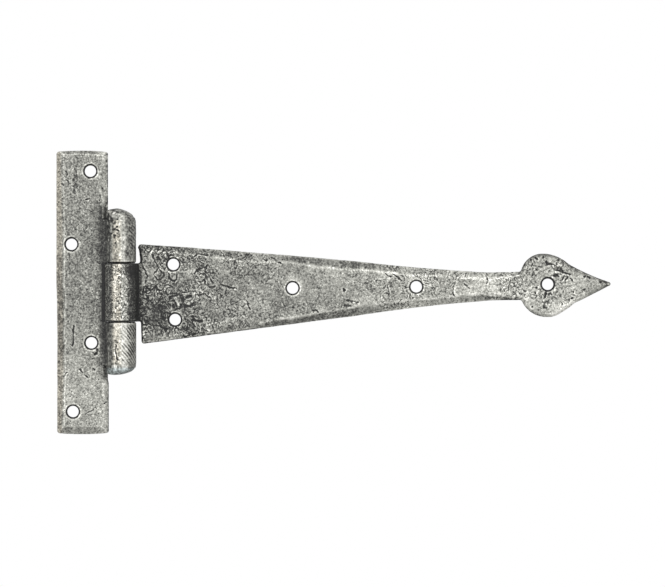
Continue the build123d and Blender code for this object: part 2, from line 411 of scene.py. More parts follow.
class Forging:
    """A fine-meshed copy of a CAD piece."""

    def __init__(self, node, name, voxel):
        self.piece = bpy.data.objects.new(name, frame["nodes"][node].data.copy())
        bpy.context.scene.collection.objects.link(self.piece)
        self.piece.data.materials.clear()
        bpy.ops.object.select_all(action="DESELECT")
        bpy.context.view_layer.objects.active = self.piece
        self.piece.select_set(True)
        bpy.ops.object.mode_set(mode="EDIT")
        bpy.ops.mesh.select_all(action="SELECT")
        bpy.ops.mesh.remove_doubles(threshold=MERGE_WITHIN)
        bpy.ops.object.mode_set(mode="OBJECT")
        remesh = self.piece.modifiers.new("even_skin", "REMESH")
        remesh.mode = "VOXEL"
        remesh.voxel_size = voxel / 1000
        bpy.ops.object.modifier_apply(modifier=remesh.name)
        self.measure()

    def measure(self):
        """Reads the points, normals and edges of the mesh."""
        mesh = self.piece.data
        count = len(mesh.vertices)
        self.points, self.normals = np.empty(count * 3), np.empty(count * 3)
        mesh.vertices.foreach_get("co", self.points)
        mesh.vertex_normals.foreach_get("vector", self.normals)
        self.points = self.points.reshape(-1, 3) * 1000
        self.normals = self.normals.reshape(-1, 3)
        edges = np.empty(len(mesh.edges) * 2, dtype=np.int32)
        mesh.edges.foreach_get("vertices", edges)
        edges = edges.reshape(-1, 2)
        self.here = np.concatenate([edges[:, 0], edges[:, 1]])
        self.there = np.concatenate([edges[:, 1], edges[:, 0]])
        self.neighbours = np.bincount(self.here, minlength=count)

    def smoothed(self, values, rounds):
        """Values averaged with those of the neighbouring points, several times over."""
        values = values.reshape(len(self.points), -1)
        for _ in range(rounds):
            columns = [np.bincount(self.here, weights=c[self.there], minlength=len(c)) for c in values.T]
            values = 0.5 * values + 0.5 * np.stack(columns, axis=1) / self.neighbours[:, None]
        return values if values.shape[1] > 1 else values[:, 0]

    def push(self, moves, low, high):
        """Moves the points, but never out of the CAD piece's box, and reads the new normals."""
        self.points = np.clip(self.points + moves, low, high)
        mesh = self.piece.data
        mesh.vertices.foreach_set("co", (self.points / 1000).ravel())
        mesh.update()
        normals = np.empty(self.points.size)
        mesh.vertex_normals.foreach_get("vector", normals)
        self.normals = normals.reshape(-1, 3)

    def store(self, name, values):
        """Keeps a value for each point where the materials can read it."""
        mesh = self.piece.data
        attribute = mesh.attributes.get(name) or mesh.attributes.new(name, "FLOAT", "POINT")
        attribute.data.foreach_set("value", np.asarray(values, dtype=np.float32))

    def hollowness(self, rounds):
        """How far each point lies below the smoothed skin around it: positive in hollows."""
        return np.sum((self.smoothed(self.points, rounds) - self.points) * self.normals, axis=1)


PLATE_SQUARES, STRAP_SQUARES, WELD_SQUARES = 0.27, 0.29, 0.25     # the new squares, millimetres wide
plate = Forging("wall_plate", "plate_forged", PLATE_SQUARES)
strap = Forging("strap", "strap_forged", STRAP_SQUARES)
weld = Forging("hinge_pin", "pin_welded", WELD_SQUARES)
print("points:", {f.piece.name: len(f.points) for f in (plate, strap, weld)})

# %% [markdown]
# ## The skin of forged iron
#
# Under the hammer the surface oxidises, and the oxide, called scale, is driven in and flakes away.
# It leaves low islands with crisp, dark outlines. Noise that is cut into steps gives both at once:
# the steps are the islands, and the places where a step rises are the outlines.

# %% Islands of scale
def scale_islands(points, size, steps, seed):
    """Depth below the highest island, from 0 to about 1, and how near a point is to an outline."""
    bend = np.stack([noise(points, size * 0.6, seed + k) for k in (11, 12, 13)], axis=1)
    height = layered(points + bend * size * 0.22, size, 3, seed) * steps
    lower = np.floor(height)
    share = height - lower
    level = lower + ramp(share, 0.38, 0.62)
    outline = np.exp(-((share - 0.42) / 0.11) ** 2)
    depth = 0.5 - level / (2.2 * steps)
    return np.clip(depth, 0, 1), outline


def grain(points, size=1.2):
    """Fine pebbly grain, from 0 on the crests to 1 in the dips."""
    return np.clip(0.5 - 0.6 * layered(points, size, 2, 40), 0, 1)


print("grain on the pin, on average:", round(grain(weld.points).mean(), 2))

# %% Cutting marks
NARROWEST, SOFT_EDGE = 0.15, 0.15      # millimetres


def cut_marks(points, marks):
    """The depth of a list of hand-made marks, each with a width, a depth and its places."""
    bend = [noise(points, 1.5, seed) + 0.5 * noise(points, 0.7, seed + 5) for seed in (71, 72, 73)]
    bent = points + 0.4 * np.stack(bend, axis=1)
    width_change = 1 + 0.9 * noise(points, 1.3, 74)
    unbroken = 0.35 + 0.65 * ramp(noise(points, 1.9, 75), -0.35, 0.1)
    total = np.zeros(len(points))
    for width, depth, line in marks:
        reach = np.maximum(width * width_change, NARROWEST)
        inside = 1 - ramp(line_distance(bent, line), 0.3 * reach, reach + SOFT_EDGE)
        total = np.maximum(total, depth * unbroken * inside)
    return total


print("a mark is never narrower than", NARROWEST, "mm")

# %% [markdown]
# ## Bevels and their wandering ridges
#
# The smith draws the edges down with the hammer, so the line where a bevel meets the flat wanders.
# Each ridge is given at a few places, as the picture shows it, and the packed strap itself says where
# its edges are: its flat back is its true outline.

# %% Distances on a leaf, seen from the front
def near_holes(points, piece_name):
    """Each point's distance from the middle of the nearest screw hole."""
    return np.min([line_distance(points, [hole]) for hole in HOLES[piece_name]], axis=0)


def height_along(points, line):
    """The height of a long line at each point's place along the hinge."""
    places, heights = np.array(line).T
    return np.interp(points[:, 0], places, heights)


def place_up(points, line):
    """The place across the hinge of an upright line, given from the top down, at each point's height."""
    places, heights = np.array(line).T
    return np.interp(-points[:, 2], -heights, places)


def bevel(distance, width, depth):
    """A bevel's depth at a distance from its edge."""
    return depth * np.clip(1 - distance / np.maximum(width, 0.3), 0, 1)


print("from the plate's middle to a hole:", near_holes(np.zeros((1, 3)), "plate_forged").round(1))

# %% The strap's long edges
STRAP_ROOT = 24.3                      # where the strap's full width begins
NECK_END = 181.0                       # where the spade begins
OFF_BACK, OFF_MIDDLE, OFF_HOLE = 0.01, 2.5, 0.2


def long_edge(side):
    """The upper (1) or lower (-1) long edge of the strap's back, as places along it."""
    x, y, z = strap_corners.T
    on_edge = (y > -OFF_BACK) & (x > STRAP_ROOT) & (x < NECK_END) & (side * z > OFF_MIDDLE)
    on_edge &= near_holes(strap_corners, "strap_forged") > HOLE_RADIUS + OFF_HOLE
    edge = strap_corners[on_edge]
    return edge[np.argsort(edge[:, 0])][:, (0, 2)]


UPPER_EDGE, LOWER_EDGE = long_edge(1), long_edge(-1)
print("long edges have", len(UPPER_EDGE), "and", len(LOWER_EDGE), "corners")

# %% Where the strap's ridges run
UPPER_RIDGE = from_photo(
    (144, 250.6), (166, 251.8), (185, 253.4), (205, 256), (229, 259.2), (248, 261.8), (264, 262.4),
    (280, 261.1), (294, 263.4), (315, 266.5), (343, 269.6), (368, 270.6), (392, 272.7), (412, 275.7),
    (438, 275.2), (455, 277.5), (476, 278.5), (500, 277.5), (519, 275),
)
LOWER_RIDGE = from_photo(
    (144, 341), (200, 334), (227, 327.4), (244, 326.8), (256, 323.6), (273, 319.1), (300, 315.6),
    (326, 310.4), (345, 307.9), (364, 303.8), (388, 301.7), (412, 298.7), (433, 298.2), (450, 295.6),
    (466, 293.4), (480, 293), (497, 294.9), (519, 297.4),
)
LOW_FACET_RIDGE = from_photo(
    (202, 331), (207, 327.4), (225, 322), (238, 317.5), (254, 317), (262, 321), (268, 324),
)
UPPER_BEVEL, LOWER_BEVEL, LOW_FACET = 0.95, 1.0, 0.6               # depths at the very edge


def strap_bevels(points):
    """The depth of the hammered bevels along both edges of the strap."""
    wander = 0.4 * noise(points * (1, 0, 0), 4.0, 21)
    upper_edge, lower_edge = height_along(points, UPPER_EDGE), height_along(points, LOWER_EDGE)
    from_top, from_bottom = upper_edge - points[:, 2], points[:, 2] - lower_edge
    upper_width = upper_edge - height_along(points, UPPER_RIDGE) + wander
    lower_width = height_along(points, LOWER_RIDGE) - lower_edge + wander
    facet_width = height_along(points, LOW_FACET_RIDGE) - lower_edge + wander
    facet_reach = ramp(points[:, 0], 50, 55) * (1 - ramp(points[:, 0], 72, 77))
    upper = bevel(from_top, upper_width, UPPER_BEVEL)
    facet = bevel(from_bottom, facet_width, LOW_FACET) * facet_reach
    lower = np.maximum(bevel(from_bottom, lower_width, LOWER_BEVEL), facet)
    on_long_edges = (points[:, 0] > STRAP_ROOT) & (points[:, 0] < NECK_END)
    return upper * on_long_edges, lower * on_long_edges


print("ridges at", len(UPPER_RIDGE), "and", len(LOWER_RIDGE), "places, up to", LOWER_BEVEL, "mm deep")

# %% Where the plate's ridges run
PLATE_LEFT_RIDGE = from_photo(
    (62, 150), (62.2, 165), (63.3, 197), (64.6, 236), (64.0, 274), (65.2, 302), (64.4, 331),
    (65.2, 369), (64.4, 398), (63.2, 418), (62.5, 434),
)
PLATE_TOP_RIGHT_RIDGE = from_photo((103, 150), (103, 157), (98.6, 181), (100.8, 193), (104, 203), (106, 212))
PLATE_LOW_RIGHT_RIDGE = from_photo(
    (106, 372), (104, 378), (102.6, 387), (105, 396), (103.8, 408), (102, 421), (99, 434),
)
PLATE_TOP_RIDGE = from_photo((56, 154.5), (70, 154), (85, 153.6), (100, 154.8), (108, 156))
PLATE_FOOT_RIDGE = from_photo((56, 427), (63, 425.4), (80, 426.4), (99, 425.6), (108, 427))
far_from_barrel = np.abs(plate_corners[:, 2]) > pin_high[2] + 5
plate_free_edge = plate_corners[far_from_barrel, 0].max()


def plate_bevels(points):
    """The depth of the hammered bevels along the edges of the fixed plate."""
    wander = 0.35 * noise(points * (0, 0, 1), 5.0, 22) + 0.2 * noise(points * (0, 0, 1), 2.2, 23)
    from_left, from_right = points[:, 0] - plate_low[0], plate_free_edge - points[:, 0]
    left = bevel(from_left, place_up(points, PLATE_LEFT_RIDGE) - plate_low[0] + wander, 1.1)
    high_width = plate_free_edge - place_up(points, PLATE_TOP_RIGHT_RIDGE) + wander
    low_width = plate_free_edge - place_up(points, PLATE_LOW_RIGHT_RIDGE) + wander
    right_width = np.where(points[:, 2] > 0, high_width, low_width)
    right = bevel(from_right, right_width, 0.9) * ramp(np.abs(points[:, 2]), pin_high[2] - 4, pin_high[2])
    top = bevel(plate_high[2] - points[:, 2], plate_high[2] - height_along(points, PLATE_TOP_RIDGE), 0.7)
    foot = bevel(points[:, 2] - plate_low[2], height_along(points, PLATE_FOOT_RIDGE) - plate_low[2], 1.1)
    return left, np.maximum(right, np.maximum(top, foot))


print("the plate's free right edge is at", round(plate_free_edge, 2))

# %% [markdown]
# ## Cracks and pits that the picture shows
#
# Some marks stand out so clearly that the hinge wouldn't be this one without them. They could be
# painted on, but a crack also catches the light, so they are cut. Each is a short line with a width
# and a depth in millimetres, and a single place makes a round pit.

# %% Cracks around the root's upper hole
ROOT_CRACKS = [
    (0.35, 0.25, from_photo((142, 266), (145.5, 271), (146.7, 276), (145, 284), (143, 291), (143, 296))),
    (0.30, 0.20, from_photo((144, 298), (149, 297))),
    (0.30, 0.22, from_photo((145, 303), (148.4, 308.6))),
    (0.32, 0.20, from_photo((152.2, 253.5), (155, 261), (159.4, 269.6), (164, 275.5))),
    (0.30, 0.20, from_photo((163, 273), (158, 268), (153, 274), (157.5, 279.5), (163.5, 276))),
    (0.55, 0.25, from_photo((157.4, 257.9), (159, 258.2))),
    (0.35, 0.22, from_photo((166.3, 259.2), (168.1, 256.1), (171.3, 253.8), (173.4, 254.8))),
    (0.35, 0.20, from_photo((168.5, 273.5), (169, 279), (173, 280.5), (176, 279), (176.5, 274))),
    (0.40, 0.20, from_photo((146, 287), (151, 290), (154, 286), (158, 289), (161, 294))),
]
print("cracks around the root's upper hole:", len(ROOT_CRACKS))

# %% Hollows around the root's lower hole
ROOT_HOLLOWS = [
    (0.32, 0.20, from_photo((174, 295), (181, 294), (183, 301), (179.5, 308), (175, 309))),
    (0.60, 0.22, from_photo((174, 300), (176, 306))),
    (0.50, 0.24, from_photo((186, 297), (191, 295.5))),
    (0.80, 0.24, from_photo((181, 295.2), (183, 301.3), (181, 306.4))),
    (0.60, 0.24, from_photo((185, 305.4), (189.2, 305.8), (194.3, 304.4))),
    (1.30, 0.16, from_photo((160.6, 306.4), (162.6, 312.5), (163.7, 318.7))),
    (0.45, 0.22, from_photo((168.8, 300.3), (170.8, 296.2), (176, 295.2))),
    (0.60, 0.22, from_photo((172.8, 304), (173, 306.4))),
    (0.30, 0.18, from_photo((196, 294.5), (205, 293.5), (211.5, 299))),
    (0.30, 0.16, from_photo((170, 294), (180, 292.5), (195, 290.5))),
    (0.45, 0.22, from_photo((157, 321), (161, 326), (166, 330))),
    (0.50, 0.24, from_photo((191, 334), (198, 332))),
    (0.40, 0.20, from_photo((186, 326), (187, 329))),
    (0.50, 0.24, from_photo((191.7, 316), (195.3, 319.8), (202, 320.6))),
]
print("hollows around the root's lower hole:", len(ROOT_HOLLOWS))

# %% Nicks and scratches along the strap
UPPER_EDGE_NICKS = [
    (0.35, 0.22, from_photo((194.5, 255.2), (199.8, 253.4), (207, 254.8))),
    (0.30, 0.18, from_photo((198.5, 257.4), (201.2, 261.4))),
    (0.30, 0.15, from_photo((206.5, 265), (204.8, 271), (204.5, 279))),
    (0.40, 0.24, from_photo((193.5, 273), (195.5, 271.5))),
    (0.50, 0.24, from_photo((197, 270.5), (199, 268.5))),
    (0.45, 0.22, from_photo((227, 252), (231, 253.5))),
    (0.40, 0.20, from_photo((246, 253.8), (251, 254.8))),
    (0.30, 0.16, from_photo((262, 258.5), (267, 259.5))),
    (0.35, 0.18, from_photo((271, 256.5), (276, 260), (280, 263))),
]
SCRATCHES = [
    (0.40, 0.20, from_photo((220.8, 284), (228, 286), (236.1, 288))),
    (0.35, 0.20, from_photo((203.5, 279), (205.5, 283), (210.6, 287), (214.7, 286))),
    (0.35, 0.20, from_photo((246.3, 300.3), (249.4, 308.5))),
    (0.60, 0.12, from_photo((347, 300.2), (352, 301.5), (358, 301.7))),
    (0.50, 0.10, from_photo((345, 304.8), (351, 305.8))),
    (0.45, 0.18, from_photo((312, 308.9), (317, 311))),
    (0.35, 0.22, from_photo((384.5, 273), (390, 276.7))),
    (0.35, 0.20, from_photo((392, 273.5), (398, 276.7), (401, 280))),
    (0.25, 0.12, from_photo((387.5, 285), (388, 296), (390, 302))),
    (0.30, 0.24, from_photo((453, 285.5), (452, 291.7), (453.8, 296.3))),
    (0.28, 0.20, from_photo((485.5, 275), (487, 279), (486, 282.5))),
    (0.30, 0.16, from_photo((463.5, 283), (468.7, 287.5))),
]
print("nicks and scratches along the strap:", len(UPPER_EDGE_NICKS), "and", len(SCRATCHES))

# %% Folds and cracks in the spade
SPADE_MARKS = [
    (0.45, 0.22, from_photo((537.5, 265.5), (540.5, 266.5))),
    (0.80, 0.24, from_photo((545.5, 261.8), (547, 263.8))),
    (0.45, 0.22, from_photo((550.7, 263.9), (555.8, 266.1), (557.4, 268.1))),
    (0.55, 0.22, from_photo((553.3, 269), (559.6, 270.3))),
    (0.60, 0.26, from_photo((559.6, 267.4), (561.9, 270.6))),
    (0.65, 0.20, from_photo((550.7, 275.7), (559.6, 273.5))),
    (0.40, 0.20, from_photo((562.2, 271.9), (569.2, 273.8))),
    (0.40, 0.22, from_photo((561, 279.5), (564.1, 275.5), (566.5, 277), (564.5, 281))),
    (0.35, 0.18, from_photo((569.8, 277.6), (572.4, 280.8))),
    (0.55, 0.24, from_photo((544.7, 291.5), (544.3, 296.8))),
    (0.70, 0.22, from_photo((549.4, 293.6))),
    (0.50, 0.22, from_photo((543.7, 302.5), (543, 307), (545, 308.2))),
    (0.55, 0.38, from_photo((586.5, 276.4), (589, 277.6))),
    (0.40, 0.20, from_photo((554.5, 259.4), (557, 260.2))),
]
print("folds and cracks in the spade:", len(SPADE_MARKS))

# %% Pits in the strap
PIT_WIDTH, PIT_DEPTH = 0.55, 0.4
SPADE_PITS = from_photo(
    (535.9, 269.3), (583.6, 275.5), (583.6, 289.6), (531.6, 306.3), (561.6, 304.4), (599.8, 281.5),
    (530.3, 259.5), (535.7, 258.2), (542.1, 257.3), (526.8, 269.3), (535.1, 287.5), (534.8, 292.9),
    (571.4, 298.4), (572.7, 292.3), (547.8, 303.1),
)
BAR_PITS = from_photo((343.5, 289.5), (249, 283), (145.3, 332), (160, 290), (205, 271.5))
STRAP_PITS = [(PIT_WIDTH, PIT_DEPTH, [place]) for place in SPADE_PITS + BAR_PITS]
STRAP_MARKS = ROOT_CRACKS + ROOT_HOLLOWS + UPPER_EDGE_NICKS + SCRATCHES + SPADE_MARKS + STRAP_PITS
print("marks on the strap in all:", len(STRAP_MARKS))

# %% Places on the strap with painted glints, on crests that are also rubbed bright
STRAP_GLINTS = [
    (0.70, 0.50, from_photo((188.5, 273.5))),
    (0.80, 0.50, from_photo((191, 270.5), (194, 271.5))),
    (0.60, 0.50, from_photo((157, 322), (160, 327.5))),
    (0.50, 0.50, from_photo((143, 333))),
    (0.50, 0.40, from_photo((188, 303.6), (192, 301))),
    (0.50, 0.40, from_photo((174, 297), (178, 304))),
    (0.50, 0.40, from_photo((210, 296), (217, 305))),
    (0.45, 0.40, from_photo((145, 283), (144, 292))),
    (0.50, 0.35, from_photo((150, 252), (165, 252))),
    (0.60, 0.40, from_photo((206, 262), (204.5, 272))),
    (0.50, 0.35, from_photo((196, 327), (236, 317))),
    (0.50, 0.35, from_photo((223, 295), (221, 297))),
    (0.40, 0.35, from_photo((187, 293.5), (204, 291))),
    (0.50, 0.40, from_photo((143.5, 302), (149, 310))),
    (0.90, 0.60, from_photo((555.5, 271.8), (557.5, 271.4))),
    (0.60, 0.45, from_photo((542.4, 297.4), (541.8, 303.1))),
    (0.60, 0.45, from_photo((558, 266), (559.5, 264.8))),
    (0.50, 0.40, from_photo((548, 274.5), (553, 271.5))),
]
print("bright places on the strap:", len(STRAP_GLINTS))

# %% Marks on the fixed plate
PLATE_MARKS = [
    (0.85, 0.35, from_photo((86, 199.5), (87.5, 199))),
    (1.00, 0.09, from_photo((75, 168), (75.8, 176), (74, 186), (73.4, 191.5))),
    (0.38, 0.16, from_photo((73.3, 325), (72.8, 337), (72.4, 345))),
    (0.60, 0.35, from_photo((97.2, 349.5), (96.2, 352.5), (94.5, 354.2))),
    (0.50, 0.28, from_photo((92.9, 368.2), (94.4, 369))),
    (0.40, 0.20, from_photo((86, 375.5), (87.4, 377.4))),
    (0.35, 0.16, from_photo((80, 368.5), (82, 371))),
    (0.35, 0.16, from_photo((64, 375.5), (66.8, 371.5))),
    (0.30, 0.10, from_photo((83, 414), (93, 409), (105, 402))),
    (0.35, 0.14, from_photo((66, 170), (67.3, 174.5))),
    (0.35, 0.14, from_photo((67.2, 180), (68.4, 184))),
    (0.40, 0.15, from_photo((62, 183.5), (63, 185))),
    (0.30, 0.12, from_photo((69, 253), (69.7, 258))),
    (0.45, 0.18, from_photo((102, 176), (102.6, 178))),
    (0.45, 0.18, from_photo((102.4, 188.5), (103.4, 190.5))),
    (0.40, 0.16, from_photo((99.5, 195), (101, 197))),
]
print("marks on the fixed plate:", len(PLATE_MARKS))

# %% Marks on the barrel
BARREL_PITS = from_photo((115, 235), (116, 243), (114, 245), (118, 230), (117, 226))
BARREL_MARKS = [
    (0.35, 0.20, from_photo((115.6, 344.6), (116, 351.5), (117.6, 358.4))),
    (0.70, 0.20, from_photo((116.4, 362.5))),
    (0.60, 0.25, from_photo((105.5, 219.5), (109, 219.5))),
    (0.40, 0.20, from_photo((112.8, 259))),
]
BARREL_MARKS += [(0.45, 0.2, [place]) for place in BARREL_PITS]
print("marks on the barrel:", len(BARREL_MARKS))

# %% [markdown]
# ## How a depth becomes a dent
#
# All the work is written as depths. On a leaf, a point on the face takes the whole depth and a point
# on the back takes none, and the wall between them follows smoothly, so that no face folds over its
# neighbour. On the barrel the depth presses the skin towards the pin, and the bore stays as it is.

# %% Pressing a leaf
WALL_FROM, WALL_TO = 0.2, 2.4          # how far before the back a wall starts and ends


def face_share(points):
    """1 on the front of a leaf, 0 on its back, and a smooth change between them."""
    return ramp(-points[:, 1], WALL_FROM, WALL_TO)


def back_dents(points):
    """Shallow dents in the flat back."""
    depth = 0.06 + 0.06 * noise(points, 6, 31) + 0.04 * grain(points)
    return np.clip(depth, 0, 1) * (1 - ramp(-points[:, 1], 0, 1.2))


print("share of a dent half way through the bar:", round(ramp(GAUGE / 2, WALL_FROM, WALL_TO), 2))

# %% Pressing the barrel
BORE_SIDE, SKIN_SIDE = 4.2, 6.0        # radii between which a knuckle starts to follow a dent


def press_barrel(points, cut):
    """Moves that press the barrel's outer skin towards the pin by a depth."""
    out = points * (1, 1, 0) - (PIN_X, PIN_Y, 0)
    radius = np.linalg.norm(out, axis=1)
    return -out * (ramp(radius, BORE_SIDE, SKIN_SIDE) * cut / np.maximum(radius, 0.1))[:, None]


print("the skin moves from radius", BORE_SIDE, "on, outside the bore")

# %% [markdown]
# ## The seams between the knuckles
#
# The packed knuckles keep a gap to turn in. On the real hinge the end faces are upset by the hammer
# until they nearly meet, and only a dark line is left. So the faces near each seam are drawn to its
# middle, from both sides, and the seam line is left black.

# %% The end faces at a seam
SEAM_LEFT = 0.05                       # what stays open between two knuckles
on_crest = plate_corners[:, 1] < CREST_Y
OUTER_START = np.abs(plate_corners[on_crest, 2]).min()
KNUCKLE_END = plate_corners[on_crest, 2].max()
SEAM_HEIGHT = (MIDDLE_TOP + OUTER_START) / 2


def close_seam(points, side):
    """Moves that bring a knuckle's end faces to the seam: side is 1 from within, -1 from outside."""
    edge = SEAM_HEIGHT - side * SEAM_LEFT / 2
    near = 1 - ramp(np.abs(np.abs(points[:, 2]) - edge), 0.25, 0.9)
    short = edge - (MIDDLE_TOP if side > 0 else 2 * SEAM_HEIGHT - MIDDLE_TOP)
    return np.stack([0 * near, 0 * near, np.sign(points[:, 2]) * near * short], axis=1)


def seam_at(points, height, reach):
    """1 at a seam between two knuckles, above and below the middle, and 0 beyond a reach from it."""
    return 1 - ramp(np.abs(np.abs(points[:, 2]) - height), 0.4 * reach, reach)


print("seams at", round(SEAM_HEIGHT, 2), "and the knuckles end at", round(KNUCKLE_END, 2))

# %% [markdown]
# ## Holes, walls and rims
#
# A punch leaves a rounded lip, rubbed bright around it. Inside it is black, both patina and the
# painted shade of the hole's wall. A hammered edge never runs dead straight, and the brush skips the
# walls. Where a wall or a rim is can be read off the normals: there they turn sideways.

# %% The lips of the screw holes
LIP_DEPTH = 0.45


def hole_lip(points, piece_name):
    """The worn lip of the punched holes: its depth, and the black in it, patina with painted shade, less the
    bright ring.
    """
    beyond = near_holes(points, piece_name) - HOLE_RADIUS
    ragged = beyond + 0.1 * noise(points, 1.5, 5)
    black = 1 - ramp(ragged, 0.5, 0.85)
    ring = np.exp(-((ragged - 1.05) / 0.25) ** 2)
    return LIP_DEPTH * (1 - ramp(ragged, 0.1, 0.75)), 0.6 * black - 0.16 * ring


print("lips are", LIP_DEPTH, "mm deep")


# %% Walls and rims
def edge_black(forging):
    """1 on the walls and rounded edges of a leaf, which the brush never bares, and 0 on its faces."""
    sideways = forging.smoothed(forging.normals * (1, 0, 1), 1)
    return ramp(np.linalg.norm(sideways, axis=1), 0.4, 0.85)


def near_rim(forging):
    """1 at the rounded rim of a leaf, and less and less over the next two millimetres of its face."""
    sideways = forging.smoothed(forging.normals * (1, 0, 1), 8)
    return ramp(np.linalg.norm(sideways, axis=1), 0.04, 0.22)


def press_walls(forging, reach):
    """Moves that press the side walls in a little, so that no edge runs dead straight."""
    points = forging.points
    flat_normals = forging.smoothed(forging.normals * (1, 0, 1), 2)
    wall = ramp(np.linalg.norm(flat_normals, axis=1), 0.4, 0.9)
    wobble = 0.1 + 0.1 * noise(points * (1, 0.2, 1), 8, 91) + 0.05 * noise(points * (1, 0.3, 1), 2.5, 92)
    away = ramp(near_holes(points, forging.piece.name) - HOLE_RADIUS, 0.4, 1.4)
    return -flat_normals * (np.clip(wobble, 0, 0.3) * wall * away * reach)[:, None]


print("points on the strap's walls:", int((edge_black(strap) > 0.5).sum()))

# %% [markdown]
# ## How bright the brush leaves the metal, and where light and shade are painted
#
# Next to its new place each point gets a burnish, from 0 where the black patina stays to 1 where
# brushing has bared the metal. It starts from a tone given at a few places, which also holds painted
# light and shade: a bright stripe and dark flanks on the barrel, darker or lighter bevels, and shade
# beside the parts. Hollows lose some of it and crests gain, because the brush rides on the crests.
# Deep cracks go below 0, so that no grain of the finish lightens them.

# %% Tone and burnish
DEEPEST_BLACK = -0.3
FINE_DIP, BROAD_DIP = 0.02, 0.06       # dips, in millimetres, that count fully
BACK_TONE = 0.42


def by_place(value, table):
    """A tone that is given at a few places and runs straight between them."""
    places, tones = np.array(table).T
    return np.interp(value, places, tones)


def flecks(points, size, seed):
    """Small islands, 1 where the patina stays black and -1 where it is rubbed off, grey between."""
    uneven = noise(points, size, seed)
    return ramp(uneven, 0.12, 0.42) - ramp(-uneven, 0.12, 0.42)


def burnish(forging, tone, patina, even=0.0):
    """Stores each point's brightness, from brushing and from painted light and shade: its tone, less the dark that
    dips and cracks hold.
    """
    fine, broad = forging.hollowness(2), forging.hollowness(10)
    fine, broad = np.clip(fine / FINE_DIP, -1.2, 1.6), np.clip(broad / BROAD_DIP, -1.2, 1.6)
    value = tone - (0.13 * fine + 0.14 * broad) * (1 - even) - patina
    forging.store("burnish", np.clip(value, DEEPEST_BLACK, 1))
    print(forging.piece.name, "burnish", np.round(np.percentile(value, (5, 50, 95)), 2))


print("the backs are brushed to", BACK_TONE)

# %% [markdown]
# ## The barrel
#
# The barrel is the brightest part, and the least even one. Its lower knuckle was filed across, its
# upper one has fine ribs at the right, and the middle one is covered with swirls of scale. Its tone
# round the pin paints light and shade: a bright stripe near the front and darker flanks, the middle
# knuckle's right flank darkest. A cream band, the tint of that painted highlight, runs down the left
# of the crest. Everything here is placed by the angle round the pin.

# %% Places round the barrel
def barrel_place(points):
    """Where a point lies across the barrel, from -1 at its left flank to 1 at its right one."""
    out_x, out_y = points[:, 0] - PIN_X, points[:, 1] - PIN_Y
    return out_x / np.maximum(np.hypot(out_x, out_y), 0.1)


def warm_highlight_band(points):
    """The cream tint of the painted highlight along the left of the barrel's crest."""
    across = barrel_place(points)
    band = ramp(across, -0.68, -0.5) * (1 - ramp(across, -0.1, 0.1)) * (points[:, 1] < PIN_Y)
    return band * (0.75 + 0.5 * noise(points, 3, 87))


print("points in the cream band:", int((warm_highlight_band(plate.points) > 0.5).sum()))

# %% File strokes
STROKE_SLOPE, STROKE_SPACING = math.radians(48), 1.2
RIB_SLOPE, RIB_SPACING = math.radians(30), 1.4


def file_strokes(points, slope, spacing):
    """Parallel grooves that run down to the right, from 0 on a crest to 1 in a groove."""
    around = OUTER_RADIUS * np.arcsin(np.clip(barrel_place(points), -1, 1))
    across = around * math.sin(slope) + points[:, 2] * math.cos(slope) + 0.12 * noise(points, 1.6, 81)
    return 0.5 + 0.5 * np.cos(across * 2 * math.pi / spacing)


def knuckle_strokes(points):
    """The strokes filed on the lower knuckle and the finer ribs of the upper one, and their reach."""
    across, height = barrel_place(points), points[:, 2]
    front = points[:, 1] < PIN_Y + 2
    filed = ramp(across, -0.05, 0.2) * (1 - ramp(height, -15, -13)) * ramp(height, -31, -28.5) * front
    ribbed = ramp(across, 0.5, 0.62) * ramp(height, 15.5, 19) * (1 - ramp(height, 27, 29)) * front
    uneven = 0.35 + 0.65 * ramp(noise(points, 2.4, 88), -0.4, 0.35)
    strokes = file_strokes(points, STROKE_SLOPE, STROKE_SPACING) * filed
    strokes = strokes + 0.6 * file_strokes(points, RIB_SLOPE, RIB_SPACING) * ribbed
    return strokes * uneven, filed


print("strokes every", STROKE_SPACING, "mm and ribs every", RIB_SPACING, "mm")

# %% The domes' shoulders
CROWN_SHOULDER = ((-2.5, 0), (-0.5, 0.15), (0.4, 0.4), (1.1, 0.5), (2, 0.5))
FOOT_SHOULDER = ((-1.2, 0), (0.2, 0.15), (0.9, 0.35), (1.4, 0.5), (2.2, 0.5))


def shoulder(points):
    """How far the barrel's right side is rounded in where it meets the domes."""
    above = np.abs(points[:, 2]) - KNUCKLE_END
    depth = np.where(points[:, 2] > 0, by_place(above, CROWN_SHOULDER), by_place(above, FOOT_SHOULDER))
    return depth * ramp(barrel_place(points), 0.1, 0.7)


print("shoulders are up to", CROWN_SHOULDER[-1][1], "mm deep")

# %% The outer knuckles
# Tone round the outer knuckles: brushing, with a painted bright stripe near the front and painted shade on the
# flanks.
UPPER_KNUCKLE_BRUSHING_AND_LIGHT = (
    (-1, 0.18), (-0.93, 0.32), (-0.81, 0.23), (-0.7, 0.33), (-0.55, 0.5), (-0.41, 0.48), (-0.28, 0.46),
    (-0.13, 0.52), (0, 0.62), (0.12, 0.58), (0.26, 0.7), (0.36, 0.42), (0.52, 0.29), (0.65, 0.36),
    (0.9, 0.41), (1, 0.18),
)
LOWER_KNUCKLE_BRUSHING_AND_LIGHT = (
    (-1, 0.15), (-0.85, 0.28), (-0.66, 0.29), (-0.54, 0.5), (-0.41, 0.74), (-0.28, 0.62), (-0.15, 0.53),
    (0, 0.65), (0.12, 0.87), (0.3, 0.84), (0.39, 0.75), (0.52, 0.56), (0.65, 0.4), (0.78, 0.45),
    (0.95, 0.42), (1, 0.18),
)
BEHIND_TONE = 0.3                      # the half of the barrel that faces the wall
SEAM_REACH, SEAM_ROUNDING = 0.75, 0.35


